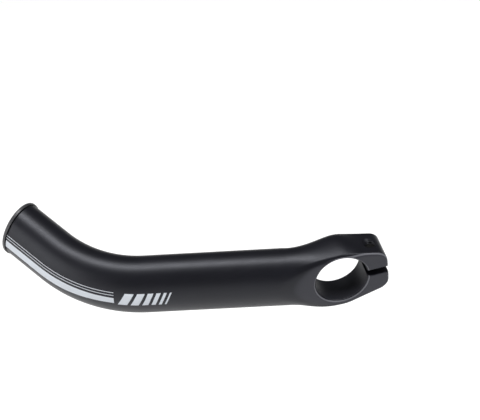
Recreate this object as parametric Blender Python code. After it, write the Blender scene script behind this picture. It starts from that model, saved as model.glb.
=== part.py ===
"""Bicycle bar end with a split handlebar clamp.

The arm and its clamp are one forged and drawn aluminium piece.  An oval tube
leaves the clamp at a slight angle, runs straight and bends inwards and upwards
at the tip.  The clamp end is solid: two flat faces are cut across it, a bore
takes the handlebar, and a slot splits the ears, which one bolt pulls together.

Frame, in metres: the origin is the centre of the handlebar bore.  +Y runs
along the bore to the outboard face, +X runs from the bore into the arm, and
+Z runs along the clamp bolt, from its head to its threaded end.
"""
import math

import bmesh
import bpy
from mathutils import Vector

# Clamp around the handlebar
BORE_DIAMETER = 0.0223
BORE_CHAMFER = 0.0008
RING_WALL = 0.0026
CLAMP_THICKNESS = 0.0137
SLOT_WIDTH = 0.0032
EAR_TAPER = math.radians(15.0)
EAR_CORNER_RADIUS = 0.0055
EAR_END_ROUNDING = 0.0009
BORE_TO_BOLT = 0.0035
BOLT_TO_EAR_END = 0.0054

# Change from the clamp to the arm
FACE_LAND = 0.0105
INNER_RISE_START = 0.0045
INNER_RISE_RADIUS = 0.0230
EDGE_BLEND = 0.0012
FACE_BLEND = 0.0020

# Oval arm
TUBE_THICKNESS = 0.0196
TUBE_HEIGHT = 0.0271
TUBE_WALL = 0.0020
ARM_ANGLE = math.radians(15.6)
STRAIGHT_LENGTH = 0.0610
TIP_BEND_RADIUS = 0.0593
TIP_BEND_ANGLE = math.radians(41.5)
TIP_BEND_ROLL = math.radians(26.5)
TIP_LENGTH = 0.0195
TUBE_MOUTH_ROUNDING = 0.0003
HOLLOW_START = 0.0300

# End plug
PLUG_FLANGE_THICKNESS = 0.0015
PLUG_OVERHANG = 0.0005
PLUG_RIM_ROUNDING = 0.0006
PLUG_RIM_WIDTH = 0.0014
PLUG_GROOVE_WIDTH = 0.0006
PLUG_GROOVE_DEPTH = 0.0004
PLUG_CROWN = 0.0003
PLUG_CROWN_EDGE = 0.0082
PLUG_BARREL_LENGTH = 0.0090
PLUG_BARREL_WALL = 0.0014
PLUG_LEAD_IN = 0.0005
PLUG_FLOOR = 0.0012

# Clamp bolt and its washer
BOLT_DIAMETER = 0.0050
BOLT_LENGTH = 0.0160
BOLT_TIP_CHAMFER = 0.0006
HEAD_DIAMETER = 0.0085
HEAD_HEIGHT = 0.0035
HEAD_CHAMFER = 0.0003
SOCKET_ACROSS_FLATS = 0.0040
SOCKET_DEPTH = 0.0022
WASHER_DIAMETER = 0.0084
WASHER_THICKNESS = 0.0010
EAR_SEAT_THICKNESS = 0.0044
COUNTERBORE_CLEARANCE = 0.00025

# Space between two surfaces that touch
SEAT_GAP = 0.0003

# Fineness of the mesh
SHARP_ANGLE = math.radians(32)
SECTION_POINTS = 60
SECTION_RAYS = 180
HOLLOW_POINTS = 40
PLUG_POINTS = 48
CLAMP_STATION_STEP = 0.0012
ROUND_STEPS = 4
CORNER_STEPS = 7
STRAIGHT_STEPS = 8
BEND_STATIONS = 14
CROWN_STEPS = 3
ROUND_SEGMENTS = 64
SMALL_ROUND_SEGMENTS = 40
TURN_SHARE = 0.65
CUT_MARGIN = 0.0020
CHAMFER_OVERRUN = 0.0002
FAR_AWAY = 1.0
TINY = 1e-6

# Sizes that follow from the ones above
BORE_RADIUS = BORE_DIAMETER / 2
RING_RADIUS = BORE_RADIUS + RING_WALL
FACE_Y = CLAMP_THICKNESS / 2
TUBE_A = TUBE_THICKNESS / 2
TUBE_B = TUBE_HEIGHT / 2
BOLT_X = -(BORE_RADIUS + BORE_TO_BOLT)
EAR_END_X = BOLT_X - BOLT_TO_EAR_END
ARM_START_X = BORE_RADIUS + FACE_LAND
BOLT_HOLE_RADIUS = BOLT_DIAMETER / 2 + SEAT_GAP
SEAT_Z = -(SLOT_WIDTH / 2 + EAR_SEAT_THICKNESS)
WASHER_TOP_Z = SEAT_Z - SEAT_GAP
HEAD_TOP_Z = WASHER_TOP_Z - WASHER_THICKNESS - SEAT_GAP

# Directions of the straight arm in the plane of the clamp
ARM_DIRECTION = Vector((math.cos(ARM_ANGLE), -math.sin(ARM_ANGLE), 0.0))
ARM_OUTWARD = Vector((math.sin(ARM_ANGLE), math.cos(ARM_ANGLE), 0.0))
UP = Vector((0.0, 0.0, 1.0))


def clear_scene():
    for existing in list(bpy.data.objects):
        bpy.data.objects.remove(existing, do_unlink=True)


def make_material(name, colour, roughness, metallic):
    material = bpy.data.materials.new(name)
    material.use_nodes = True
    shader = material.node_tree.nodes["Principled BSDF"]
    shader.inputs["Base Color"].default_value = (*colour, 1.0)
    shader.inputs["Roughness"].default_value = roughness
    shader.inputs["Metallic"].default_value = metallic
    return material


def add_object(name, mesh, material):
    added = bpy.data.objects.new(name, mesh)
    bpy.context.scene.collection.objects.link(added)
    if material is not None:
        mesh.materials.append(material)
    mesh.shade_smooth()
    mesh.set_sharp_from_angle(angle=SHARP_ANGLE)
    return added


def add_cutter(name, mesh):
    cutter = add_object(name, mesh, None)
    cutter.hide_render = True
    cutter.display_type = "WIRE"
    return cutter


def cut(target, cutter):
    boolean = target.modifiers.new(cutter.name, "BOOLEAN")
    boolean.operation = "DIFFERENCE"
    boolean.solver = "EXACT"
    boolean.object = cutter


def mesh_from_rings(name, rings):
    """Closed skin over a row of rings with equal counts, with flat ends."""
    work = bmesh.new()
    loops = [[work.verts.new(point) for point in ring] for ring in rings]
    count = len(rings[0])
    for lower, upper in zip(loops, loops[1:]):
        for i in range(count):
            j = (i + 1) % count
            work.faces.new((lower[i], lower[j], upper[j], upper[i]))
    work.faces.new(loops[0])
    work.faces.new(loops[-1])
    bmesh.ops.recalc_face_normals(work, faces=work.faces)
    mesh = bpy.data.meshes.new(name)
    work.to_mesh(mesh)
    work.free()
    return mesh


def turned_mesh(name, profile, segments, centre, axis):
    """Solid of revolution; the profile lists (radius, distance along the axis)."""
    side = axis.orthogonal().normalized()
    across = axis.cross(side)
    rings = []
    for radius, along in profile:
        ring = []
        for i in range(segments):
            angle = 2 * math.pi * i / segments
            spoke = side * math.cos(angle) + across * math.sin(angle)
            ring.append(centre + axis * along + spoke * radius)
        rings.append(ring)
    return mesh_from_rings(name, rings)


def smooth_step(value):
    t = min(max(value, 0.0), 1.0)
    return t * t * (3 - 2 * t)


def blend_min(first, second, width):
    """Smaller of two lengths, rounded over where they are nearly equal."""
    overlap = max(width - abs(first - second), 0.0)
    return min(first, second) - overlap * overlap / (4 * width)


def tube_axis_y(x):
    """Y of the straight tube's axis, carried on into the clamp."""
    outer_line = FACE_Y - (x - ARM_START_X) * math.tan(ARM_ANGLE)
    return outer_line - TUBE_A / math.cos(ARM_ANGLE)


def inner_face_y(x):
    """Inboard face: flat at the ears, then a milled arc that opens to the arm."""
    run = x - INNER_RISE_START
    if run <= 0:
        return -FACE_Y
    if run >= INNER_RISE_RADIUS:
        return -FAR_AWAY
    return -FACE_Y - INNER_RISE_RADIUS + math.sqrt(INNER_RISE_RADIUS ** 2 - run ** 2)


def taper_height(x):
    """Half height of the ears: a line tangent to the ring, falling to the end."""
    return (RING_RADIUS + x * math.sin(EAR_TAPER)) / math.cos(EAR_TAPER)


def side_height(x):
    """Half height of the clamp: rounded corners, tapered ears and the ring's crown."""
    if x >= 0:
        return RING_RADIUS
    if x >= -RING_RADIUS * math.sin(EAR_TAPER):
        return math.sqrt(RING_RADIUS ** 2 - x ** 2)
    corner = min(EAR_CORNER_RADIUS, taper_height(EAR_END_X) - SLOT_WIDTH)
    centre_x = EAR_END_X + corner
    centre_z = taper_height(centre_x) - corner / math.cos(EAR_TAPER)
    if x >= centre_x - corner * math.sin(EAR_TAPER):
        return taper_height(x)
    return centre_z + math.sqrt(max(corner ** 2 - (x - centre_x) ** 2, 0.0))


def ray_to_oval(centre_y, angle, axis_y, half_width, half_height):
    """Length of a ray from (centre_y, 0) to an ellipse centred at (axis_y, 0)."""
    offset = (centre_y - axis_y) / half_width
    run = math.cos(angle) / half_width
    rise = math.sin(angle) / half_height
    square = run * run + rise * rise
    middle = offset * run
    inside = middle * middle - square * (offset * offset - 1)
    return (-middle + math.sqrt(max(inside, 0.0))) / square


def clamp_outline(x, centre_y):
    """Upper half outline of the clamp end at x, as (y, z) from +Y round to -Y.

    The flat-sided section of the clamp turns into the arm's oval, which the two
    faces of the clamp still cut.
    """
    axis_y = tube_axis_y(x)
    half_width = TUBE_A / math.cos(ARM_ANGLE)
    arm_share = smooth_step(x / ARM_START_X)
    face_blend = EDGE_BLEND + (FACE_BLEND - EDGE_BLEND) * arm_share
    outline = []
    for i in range(SECTION_RAYS + 1):
        angle = math.pi * i / SECTION_RAYS
        cosine = math.cos(angle)
        sine = max(math.sin(angle), TINY)
        to_outer = (FACE_Y - centre_y) / cosine if cosine > TINY else FAR_AWAY
        to_flat = (FACE_Y + centre_y) / -cosine if cosine < -TINY else FAR_AWAY
        to_inner = (centre_y - inner_face_y(x)) / -cosine if cosine < -TINY else FAR_AWAY
        plate = blend_min(side_height(x) / sine, to_outer, EDGE_BLEND)
        plate = blend_min(plate, to_flat, EDGE_BLEND)
        oval = ray_to_oval(centre_y, angle, axis_y, half_width, TUBE_B)
        oval = blend_min(oval, to_outer, face_blend)
        oval = blend_min(oval, to_inner, face_blend)
        reach = plate + (oval - plate) * arm_share
        outline.append((centre_y + reach * cosine, reach * sine))
    return outline


def oval_outline(half_width, half_height):
    """Upper half of an ellipse about the origin, as (across, up)."""
    outline = []
    for i in range(SECTION_RAYS + 1):
        angle = math.pi * i / SECTION_RAYS
        outline.append((half_width * math.cos(angle), half_height * math.sin(angle)))
    return outline


def even_points(outline, count):
    """Points along a half outline, closer together where it turns sharply."""
    lengths = [math.dist(a, b) for a, b in zip(outline, outline[1:])]
    headings = [math.atan2(b[1] - a[1], b[0] - a[0]) for a, b in zip(outline, outline[1:])]
    total_length = sum(lengths)
    weight = [0.0]
    for i, length in enumerate(lengths):
        turn = 0.0
        if i > 0:
            turn = abs(math.remainder(headings[i] - headings[i - 1], 2 * math.pi))
        step = (1 - TURN_SHARE) * length / total_length + TURN_SHARE * turn / math.pi
        weight.append(weight[-1] + step)
    points = []
    place = 0
    for k in range(count + 1):
        goal = weight[-1] * k / count
        while place < len(weight) - 2 and weight[place + 1] < goal:
            place += 1
        span = weight[place + 1] - weight[place]
        share = (goal - weight[place]) / span if span > 0 else 0.0
        share = min(max(share, 0.0), 1.0)
        a = outline[place]
        b = outline[place + 1]
        points.append((a[0] + (b[0] - a[0]) * share, a[1] + (b[1] - a[1]) * share))
    return points


def closed_section(outline, count):
    """Full ring of (across, up) points from its upper half."""
    upper = even_points(outline, count // 2)
    lower = [(across, -height) for across, height in reversed(upper[1:-1])]
    return upper + lower


def inset_section(section, centre, inset):
    """Section with each point drawn towards the centre by a set distance."""
    moved = []
    for across, height in section:
        reach = math.hypot(across - centre, height)
        scale = max(reach - inset, 0.0) / reach
        moved.append((centre + (across - centre) * scale, height * scale))
    return moved


def place_section(section, origin, across_axis, up_axis):
    return [origin + across_axis * across + up_axis * height for across, height in section]


def clamp_stations():
    """X of each section of the clamp end, with its inset at the rounded ear end."""
    stations = []
    for i in range(ROUND_STEPS):
        angle = math.pi / 2 * i / ROUND_STEPS
        x = EAR_END_X + EAR_END_ROUNDING * (1 - math.cos(angle))
        stations.append((x, EAR_END_ROUNDING * (1 - math.sin(angle))))
    start = EAR_END_X + EAR_END_ROUNDING
    corner_end = EAR_END_X + EAR_CORNER_RADIUS
    for i in range(CORNER_STEPS):
        stations.append((start + (corner_end - start) * (i / CORNER_STEPS) ** 1.5, 0.0))
    run = clamp_end_x() - corner_end
    steps = math.ceil(run / CLAMP_STATION_STEP)
    for i in range(steps + 1):
        stations.append((corner_end + run * i / steps, 0.0))
    return stations


def clamp_end_x():
    """X past which only the plain oval tube remains."""
    return ARM_START_X + TUBE_THICKNESS / 2


def clamp_rings():
    rings = []
    for x, inset in clamp_stations():
        centre_y = tube_axis_y(x) * smooth_step(x / clamp_end_x())
        section = closed_section(clamp_outline(x, centre_y), SECTION_POINTS)
        if inset > 0:
            section = inset_section(section, centre_y, inset)
        rings.append([Vector((x, y, z)) for y, z in section])
    return rings


def arm_path(start_x, extra):
    """Sections along the arm: origin, across, up and the slant of each plane.

    The planes start square to X at start_x, turn square to the arm along the
    straight, and then follow the tip bend, whose plane is rolled upwards.
    """
    axis_start = Vector((start_x, tube_axis_y(start_x), 0.0))
    bend_start = Vector((ARM_START_X, FACE_Y, 0.0)) - ARM_OUTWARD * TUBE_A
    bend_start += ARM_DIRECTION * STRAIGHT_LENGTH
    straight = (bend_start - axis_start).dot(ARM_DIRECTION)
    path = []
    for i in range(STRAIGHT_STEPS):
        share = i / STRAIGHT_STEPS
        turn = ARM_ANGLE * min(share * 2, 1.0)
        across = Vector((math.sin(turn), math.cos(turn), 0.0))
        path.append((axis_start + ARM_DIRECTION * straight * share, across, UP, ARM_ANGLE - turn))
    roll = TIP_BEND_ROLL
    inward = -ARM_OUTWARD * math.cos(roll) + UP * math.sin(roll)
    hinge_axis = ARM_OUTWARD * math.sin(roll) + UP * math.cos(roll)
    for i in range(BEND_STATIONS + 1):
        angle = TIP_BEND_ANGLE * i / BEND_STATIONS
        shift = ARM_DIRECTION * math.sin(angle) + inward * (1 - math.cos(angle))
        heading = ARM_DIRECTION * math.cos(angle) + inward * math.sin(angle)
        outward = hinge_axis.cross(heading)
        across = outward * math.cos(roll) + hinge_axis * math.sin(roll)
        up = hinge_axis * math.cos(roll) - outward * math.sin(roll)
        path.append((bend_start + shift * TIP_BEND_RADIUS, across, up, 0.0))
    end, across, up, _ = path[-1]
    heading = across.cross(up)
    for share in (0.5, 1.0):
        path.append((end + heading * (TIP_LENGTH + extra) * share, across, up, 0.0))
    return path


def tube_rings(start_x, inset, extra, count):
    rings = []
    for origin, across, up, slant in arm_path(start_x, extra):
        half_width = (TUBE_A - inset) / math.cos(slant)
        section = closed_section(oval_outline(half_width, TUBE_B - inset), count)
        rings.append(place_section(section, origin, across, up))
    return rings


def tip_frame():
    """Centre of the tube's open end, its two section axes and its outward heading."""
    origin, across, up, _ = arm_path(clamp_end_x(), 0.0)[-1]
    return origin, across, up, across.cross(up)


def rounded_mouth(rings):
    """Last ring drawn in a little, after one that marks the start of the rounding."""
    origin, across, up, heading = tip_frame()
    full = closed_section(oval_outline(TUBE_A, TUBE_B), SECTION_POINTS)
    small = closed_section(
        oval_outline(TUBE_A - TUBE_MOUTH_ROUNDING, TUBE_B - TUBE_MOUTH_ROUNDING), SECTION_POINTS)
    before = place_section(full, origin - heading * TUBE_MOUTH_ROUNDING, across, up)
    return rings[:-1] + [before, place_section(small, origin, across, up)]


def bore_cutter():
    wide = BORE_RADIUS + BORE_CHAMFER + CHAMFER_OVERRUN
    edge = FACE_Y + CHAMFER_OVERRUN
    deep = FACE_Y - BORE_CHAMFER
    behind = -(FACE_Y + INNER_RISE_RADIUS)
    profile = [(wide, behind), (wide, -edge), (BORE_RADIUS, -deep),
               (BORE_RADIUS, deep), (wide, edge), (wide, edge + CUT_MARGIN)]
    axis = Vector((0.0, 1.0, 0.0))
    return add_cutter("bore_cutter", turned_mesh("bore_cutter", profile, ROUND_SEGMENTS, Vector(), axis))


def slot_cutter():
    far_x = EAR_END_X - CUT_MARGIN
    wide_y = FACE_Y + CUT_MARGIN
    half = SLOT_WIDTH / 2
    rings = []
    for x in (far_x, 0.0):
        rings.append([Vector((x, -wide_y, -half)), Vector((x, wide_y, -half)),
                      Vector((x, wide_y, half)), Vector((x, -wide_y, half))])
    return add_cutter("slot_cutter", mesh_from_rings("slot_cutter", rings))


def bolt_hole_cutter():
    """Through hole, with a counterbore in the lower ear for the head and washer."""
    wide = max(HEAD_DIAMETER, WASHER_DIAMETER) / 2 + COUNTERBORE_CLEARANCE
    below = -(RING_RADIUS + CUT_MARGIN)
    above = RING_RADIUS + CUT_MARGIN
    profile = [(wide, below), (wide, SEAT_Z), (BOLT_HOLE_RADIUS, SEAT_Z), (BOLT_HOLE_RADIUS, above)]
    centre = Vector((BOLT_X, 0.0, 0.0))
    mesh = turned_mesh("bolt_hole_cutter", profile, SMALL_ROUND_SEGMENTS, centre, UP)
    return add_cutter("bolt_hole_cutter", mesh)


def hollow_cutter():
    rings = tube_rings(HOLLOW_START, TUBE_WALL, CUT_MARGIN, HOLLOW_POINTS)
    return add_cutter("hollow_cutter", mesh_from_rings("hollow_cutter", rings))


def build_body():
    paint = make_material("satin_black_anodised", (0.022, 0.022, 0.026), 0.42, 0.35)
    rings = clamp_rings()
    rings += tube_rings(clamp_end_x(), 0.0, 0.0, SECTION_POINTS)[1:]
    body = add_object("bar_end_body", mesh_from_rings("bar_end_body", rounded_mouth(rings)), paint)
    cut(body, hollow_cutter())
    cut(body, bore_cutter())
    cut(body, slot_cutter())
    cut(body, bolt_hole_cutter())


def build_plug():
    """Cup with a rimmed flange; each ring is the tube's oval drawn in by a distance."""
    plastic = make_material("black_plastic", (0.030, 0.030, 0.032), 0.55, 0.0)
    origin, across, up, heading = tip_frame()
    barrel = TUBE_WALL + SEAT_GAP
    cup = barrel + PLUG_BARREL_WALL
    top = SEAT_GAP + PLUG_FLANGE_THICKNESS
    profile = [(cup, SEAT_GAP + PLUG_FLANGE_THICKNESS - PLUG_GROOVE_DEPTH - PLUG_FLOOR),
               (cup, -PLUG_BARREL_LENGTH),
               (barrel + PLUG_LEAD_IN, -PLUG_BARREL_LENGTH),
               (barrel, -PLUG_BARREL_LENGTH + 2 * PLUG_LEAD_IN),
               (barrel, SEAT_GAP),
               (-PLUG_OVERHANG, SEAT_GAP)]
    rim = min(PLUG_RIM_ROUNDING, PLUG_FLANGE_THICKNESS)
    for i in range(ROUND_STEPS + 1):
        angle = math.pi / 2 * i / ROUND_STEPS
        inset = -PLUG_OVERHANG + rim * (1 - math.cos(angle))
        profile.append((inset, top - rim * (1 - math.sin(angle))))
    groove_start = PLUG_RIM_WIDTH
    groove_end = groove_start + PLUG_GROOVE_WIDTH
    profile += [(groove_start, top),
                (groove_start, top - PLUG_GROOVE_DEPTH),
                (groove_end, top - PLUG_GROOVE_DEPTH),
                (groove_end, top)]
    for i in range(1, CROWN_STEPS + 1):
        share = i / CROWN_STEPS
        inset = groove_end + (PLUG_CROWN_EDGE - groove_end) * share
        profile.append((inset, top + PLUG_CROWN * smooth_step(share)))
    rings = []
    for inset, along in profile:
        section = closed_section(oval_outline(TUBE_A - inset, TUBE_B - inset), PLUG_POINTS)
        rings.append(place_section(section, origin + heading * along, across, up))
    add_object("end_plug", mesh_from_rings("end_plug", rings), plastic)


def build_washer():
    steel = make_material("dark_steel", (0.10, 0.10, 0.105), 0.35, 1.0)
    outer = WASHER_DIAMETER / 2
    inner = BOLT_HOLE_RADIUS
    work = bmesh.new()
    corners = ((inner, 0.0), (outer, 0.0), (outer, -WASHER_THICKNESS), (inner, -WASHER_THICKNESS))
    loops = []
    for radius, along in corners:
        loop = []
        for i in range(SMALL_ROUND_SEGMENTS):
            angle = 2 * math.pi * i / SMALL_ROUND_SEGMENTS
            loop.append(work.verts.new((radius * math.cos(angle), radius * math.sin(angle), along)))
        loops.append(loop)
    for k in range(len(loops)):
        first = loops[k]
        second = loops[(k + 1) % len(loops)]
        for i in range(SMALL_ROUND_SEGMENTS):
            j = (i + 1) % SMALL_ROUND_SEGMENTS
            work.faces.new((first[i], first[j], second[j], second[i]))
    bmesh.ops.recalc_face_normals(work, faces=work.faces)
    mesh = bpy.data.meshes.new("bolt_washer")
    work.to_mesh(mesh)
    work.free()
    washer = add_object("bolt_washer", mesh, steel)
    washer.location = (BOLT_X, 0.0, WASHER_TOP_Z)


def build_bolt():
    """Cap screw whose head is below and whose thread ends in the upper ear."""
    black_steel = make_material("black_steel", (0.035, 0.035, 0.037), 0.38, 0.9)
    shank = BOLT_DIAMETER / 2
    head = HEAD_DIAMETER / 2
    profile = [(head - HEAD_CHAMFER, -HEAD_HEIGHT),
               (head, -HEAD_HEIGHT + HEAD_CHAMFER),
               (head, 0.0),
               (shank, 0.0),
               (shank, BOLT_LENGTH - BOLT_TIP_CHAMFER),
               (shank - BOLT_TIP_CHAMFER, BOLT_LENGTH)]
    mesh = turned_mesh("clamp_bolt", profile, SMALL_ROUND_SEGMENTS, Vector(), UP)
    bolt = add_object("clamp_bolt", mesh, black_steel)
    bolt.location = (BOLT_X, 0.0, HEAD_TOP_Z)
    corner = SOCKET_ACROSS_FLATS / math.sqrt(3)
    socket_profile = [(corner, -HEAD_HEIGHT - CUT_MARGIN), (corner, -HEAD_HEIGHT + SOCKET_DEPTH)]
    socket = add_cutter("socket_cutter", turned_mesh("socket_cutter", socket_profile, 6, Vector(), UP))
    socket.location = bolt.location
    cut(bolt, socket)


def main():
    clear_scene()
    build_body()
    build_plug()
    build_washer()
    build_bolt()


main()
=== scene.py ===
"""Looks of the bicycle bar end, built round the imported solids.

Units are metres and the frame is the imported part's: the origin is the centre
of the handlebar bore, +Y the outboard face, +X the arm and +Z the clamp bolt.
"""
import math

import bmesh
import bpy
from mathutils import Matrix, Vector

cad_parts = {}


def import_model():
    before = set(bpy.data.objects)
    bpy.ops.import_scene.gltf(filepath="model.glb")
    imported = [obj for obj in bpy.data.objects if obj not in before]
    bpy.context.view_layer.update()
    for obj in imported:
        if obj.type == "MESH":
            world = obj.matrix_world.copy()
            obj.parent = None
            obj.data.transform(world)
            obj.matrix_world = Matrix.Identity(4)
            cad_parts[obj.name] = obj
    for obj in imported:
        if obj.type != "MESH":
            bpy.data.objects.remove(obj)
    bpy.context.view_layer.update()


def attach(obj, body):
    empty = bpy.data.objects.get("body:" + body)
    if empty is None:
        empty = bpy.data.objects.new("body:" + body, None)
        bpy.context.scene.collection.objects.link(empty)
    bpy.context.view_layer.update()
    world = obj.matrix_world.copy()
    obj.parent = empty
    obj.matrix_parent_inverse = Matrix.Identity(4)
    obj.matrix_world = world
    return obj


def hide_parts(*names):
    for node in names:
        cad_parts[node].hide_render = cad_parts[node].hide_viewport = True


# Clamp around the handlebar
BORE_DIAMETER = 0.0223
BORE_CHAMFER = 0.0008
RING_WALL = 0.0026
CLAMP_THICKNESS = 0.0137
SLOT_WIDTH = 0.0032
EAR_TAPER = math.radians(15.0)
EAR_CORNER_RADIUS = 0.0055
EAR_END_ROUNDING = 0.0009
BORE_TO_BOLT = 0.0035
BOLT_TO_EAR_END = 0.0054

# Change from the clamp to the arm
FACE_LAND = 0.0105
INNER_RISE_START = 0.0045
INNER_RISE_RADIUS = 0.0230
EDGE_BLEND = 0.0012
FACE_BLEND = 0.0020
TOP_EDGE_RING = 0.0034
TOP_EDGE_EAR = 0.0022
CROWN_Y = -0.0025
CROWN_RISE = 0.0014
CROWN_DROP = 0.0029
CROWN_START_X = -0.0120
CROWN_FADE = 0.0100
CROWN_PASSES = 8

# Oval arm
TUBE_THICKNESS = 0.0196
TUBE_HEIGHT = 0.0271
TUBE_WALL = 0.0020
ARM_ANGLE = math.radians(15.6)
STRAIGHT_LENGTH = 0.0610
TIP_BEND_RADIUS = 0.0593
TIP_BEND_ANGLE = math.radians(41.5)
TIP_BEND_ROLL = math.radians(26.5)
TIP_LENGTH = 0.0195
TUBE_MOUTH_ROUNDING = 0.0003
HOLLOW_START = 0.0300

# End plug
PLUG_FLANGE_THICKNESS = 0.0015
PLUG_OVERHANG = 0.0005
PLUG_RIM_ROUNDING = 0.0006
PLUG_RIM_WIDTH = 0.0014
PLUG_GROOVE_WIDTH = 0.0006
PLUG_GROOVE_DEPTH = 0.0004
PLUG_CROWN = 0.0003
PLUG_CROWN_EDGE = 0.0082
PLUG_BARREL_LENGTH = 0.0090
PLUG_BARREL_WALL = 0.0014
PLUG_LEAD_IN = 0.0005
PLUG_FLOOR = 0.0012
PLUG_EDGE_ROUNDING = 0.00012

# Clamp bolt, its thread and its washer
BOLT_DIAMETER = 0.0050
BOLT_LENGTH = 0.0160
BOLT_TIP_CHAMFER = 0.0006
HEAD_DIAMETER = 0.0085
HEAD_HEIGHT = 0.0035
HEAD_CHAMFER = 0.0003
SOCKET_ACROSS_FLATS = 0.0040
SOCKET_SIDES = 6
SOCKET_DEPTH = 0.0022
WASHER_DIAMETER = 0.0084
WASHER_THICKNESS = 0.0010
WASHER_EDGE_ROUNDING = 0.00015
EAR_SEAT_THICKNESS = 0.0044
COUNTERBORE_CLEARANCE = 0.00025
THREAD_PITCH = 0.0008
THREAD_DEPTH = 0.00040
THREAD_PLAY = 0.00008
THREAD_CREST_SHARE = 0.22
THREAD_RUN_OUT = 0.0012
EXIT_CHAMFER = 0.00035
KNURL_DEPTH = 0.00009
SOCKET_FLOOR_SHARE = 0.2
SOCKET_CONE_SHARE = 0.3
SOCKET_LEAD_SHARE = 0.1

# Small roundings where a cut meets the surface
MOUTH_ROUNDING = 0.00022
CHAMFER_OVERRUN = 0.0002
SLOT_EDGE = 0.00028
ARC_SHARE = 0.45
LEAST_TURN = math.radians(5)

# Space between two surfaces that touch
SEAT_GAP = 0.0003

# Printed bands, as distances along the arm's axis and angles round its section
PRINT_START = 0.0725
PRINT_END = 0.12335
BAND_TOP = math.radians(2.0)
BAND_BOTTOM_START = math.radians(-10.5)
BAND_BOTTOM_END = math.radians(-16.0)
BAND_WIDENING = 2.2
LINE_ANGLES = (math.radians(8.0), math.radians(14.0))
LINE_WIDTH = 0.00026
BAR_COUNT = 6
BAR_FIRST_WIDTH = 0.0034
BAR_LAST_WIDTH = 0.0007
BAR_GAP = 0.0013
BAR_SLANT = 0.0030
BAR_TOP = math.radians(14.0)
BAR_BOTTOM = math.radians(-13.0)
PRINT_RISE = 0.00004
PRINT_SINK = 0.00008

# Camera that matches the photo
CAMERA_AZIMUTH = math.radians(171.0754)
CAMERA_ELEVATION = math.radians(40.4502)
CAMERA_ROLL = math.radians(-7.5507)
CAMERA_DISTANCE = 0.7050556
FOCAL_PIXELS = 1696.588
PICTURE_WIDTH = 480
PICTURE_HEIGHT = 420
ORIGIN_IN_PICTURE = (337.5736, 269.674)
SENSOR_WIDTH = 36.0

# Floor and lights
FLOOR_Z = -0.135
FLOOR_SIZE = 6.0
WORLD_LEVEL = 0.11
FLOOR_LIFT = 0.16

# Finish of the arm and clamp; the faces' paler tone is partly painted reflection, the bore's paler tone
# is painted reflection and the edge tone is a painted highlight
DYED_DARK = (0.0042, 0.0043, 0.0065)
DYED_LIGHT = (0.0056, 0.0057, 0.0086)
# Flat faces: paler for their milled finish, and partly painted reflection
MILLED_AND_REFLECTED_TONE = (0.025, 0.025, 0.032)
# Painted highlight: a pale grey on the bore chamfers and on the ears' rounded front edges
PAINTED_EDGE_HIGHLIGHT = (0.122, 0.123, 0.138)
# Painted reflection: the inside of the bore is made paler
PAINTED_BORE_REFLECTION = (0.0140, 0.0142, 0.0185)
MIRROR_TINT = (0.90, 0.92, 1.0)
MIRROR_LEVEL = 0.35
FINISH_ROUGHNESS = (0.38, 0.42)
BORE_ROUGHNESS = 0.12
# Fade of the faces' paler tone, which is partly painted reflection
FACE_TONE_FADE = 0.0005
# Band of painted highlight along the rounded edge behind the outboard face, fading in towards the ears
HIGHLIGHT_BAND_DEPTH = 0.0006
HIGHLIGHT_NORMAL_LOW = 0.15
HIGHLIGHT_NORMAL_HIGH = 0.93
HIGHLIGHT_START_X = 0.006
HIGHLIGHT_FULL_X = -0.004
MASK_MARGIN = 0.0001
FACE_MARGIN = 0.00002
BORE_MARGIN = 0.00003
GRAIN_DEPTH = 0.0000035
TURNING_DEPTH = 0.00002

# Fineness of the mesh
SHARP_ANGLE = math.radians(30)
SECTION_POINTS = 168
SECTION_RAYS = 420
HOLLOW_POINTS = 96
PLUG_POINTS = 144
CLAMP_STATION_STEP = 0.0005
ROUND_STEPS = 6
ARC_STEPS = 4
CORNER_STEPS = 14
CORNER_CROWDING = 1.5
STRAIGHT_STEPS = 30
BEND_STATIONS = 44
TIP_STEPS = 8
CROWN_STEPS = 8
ROUND_SEGMENTS = 192
BOLT_SEGMENTS = 120
THREAD_STEPS = 12
TURN_SHARE = 0.60
CUT_MARGIN = 0.0020
FAR_AWAY = 1.0
TINY = 1e-6

# Sizes that follow from the ones above
BORE_RADIUS = BORE_DIAMETER / 2
RING_RADIUS = BORE_RADIUS + RING_WALL
FACE_Y = CLAMP_THICKNESS / 2
TUBE_A = TUBE_THICKNESS / 2
TUBE_B = TUBE_HEIGHT / 2
BOLT_X = -(BORE_RADIUS + BORE_TO_BOLT)
EAR_END_X = BOLT_X - BOLT_TO_EAR_END
ARM_START_X = BORE_RADIUS + FACE_LAND
BOLT_HOLE_RADIUS = BOLT_DIAMETER / 2 + SEAT_GAP
SEAT_Z = -(SLOT_WIDTH / 2 + EAR_SEAT_THICKNESS)
WASHER_TOP_Z = SEAT_Z - SEAT_GAP
HEAD_TOP_Z = WASHER_TOP_Z - WASHER_THICKNESS - SEAT_GAP

# Directions of the straight arm in the plane of the clamp
ARM_DIRECTION = Vector((math.cos(ARM_ANGLE), -math.sin(ARM_ANGLE), 0.0))
ARM_OUTWARD = Vector((math.sin(ARM_ANGLE), math.cos(ARM_ANGLE), 0.0))
UP = Vector((0.0, 0.0, 1.0))


def add_piece(name, mesh, material):
    piece = bpy.data.objects.new(name, mesh)
    bpy.context.scene.collection.objects.link(piece)
    if material is not None:
        mesh.materials.append(material)
    mesh.shade_smooth()
    return piece


def mesh_from_rings(name, rings):
    """Closed skin over a row of rings with equal counts, with flat ends."""
    work = bmesh.new()
    loops = [[work.verts.new(point) for point in ring] for ring in rings]
    count = len(rings[0])
    for lower, upper in zip(loops, loops[1:]):
        for i in range(count):
            j = (i + 1) % count
            work.faces.new((lower[i], lower[j], upper[j], upper[i]))
    work.faces.new(loops[0])
    work.faces.new(loops[-1])
    bmesh.ops.recalc_face_normals(work, faces=work.faces)
    mesh = bpy.data.meshes.new(name)
    work.to_mesh(mesh)
    work.free()
    return mesh


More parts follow.
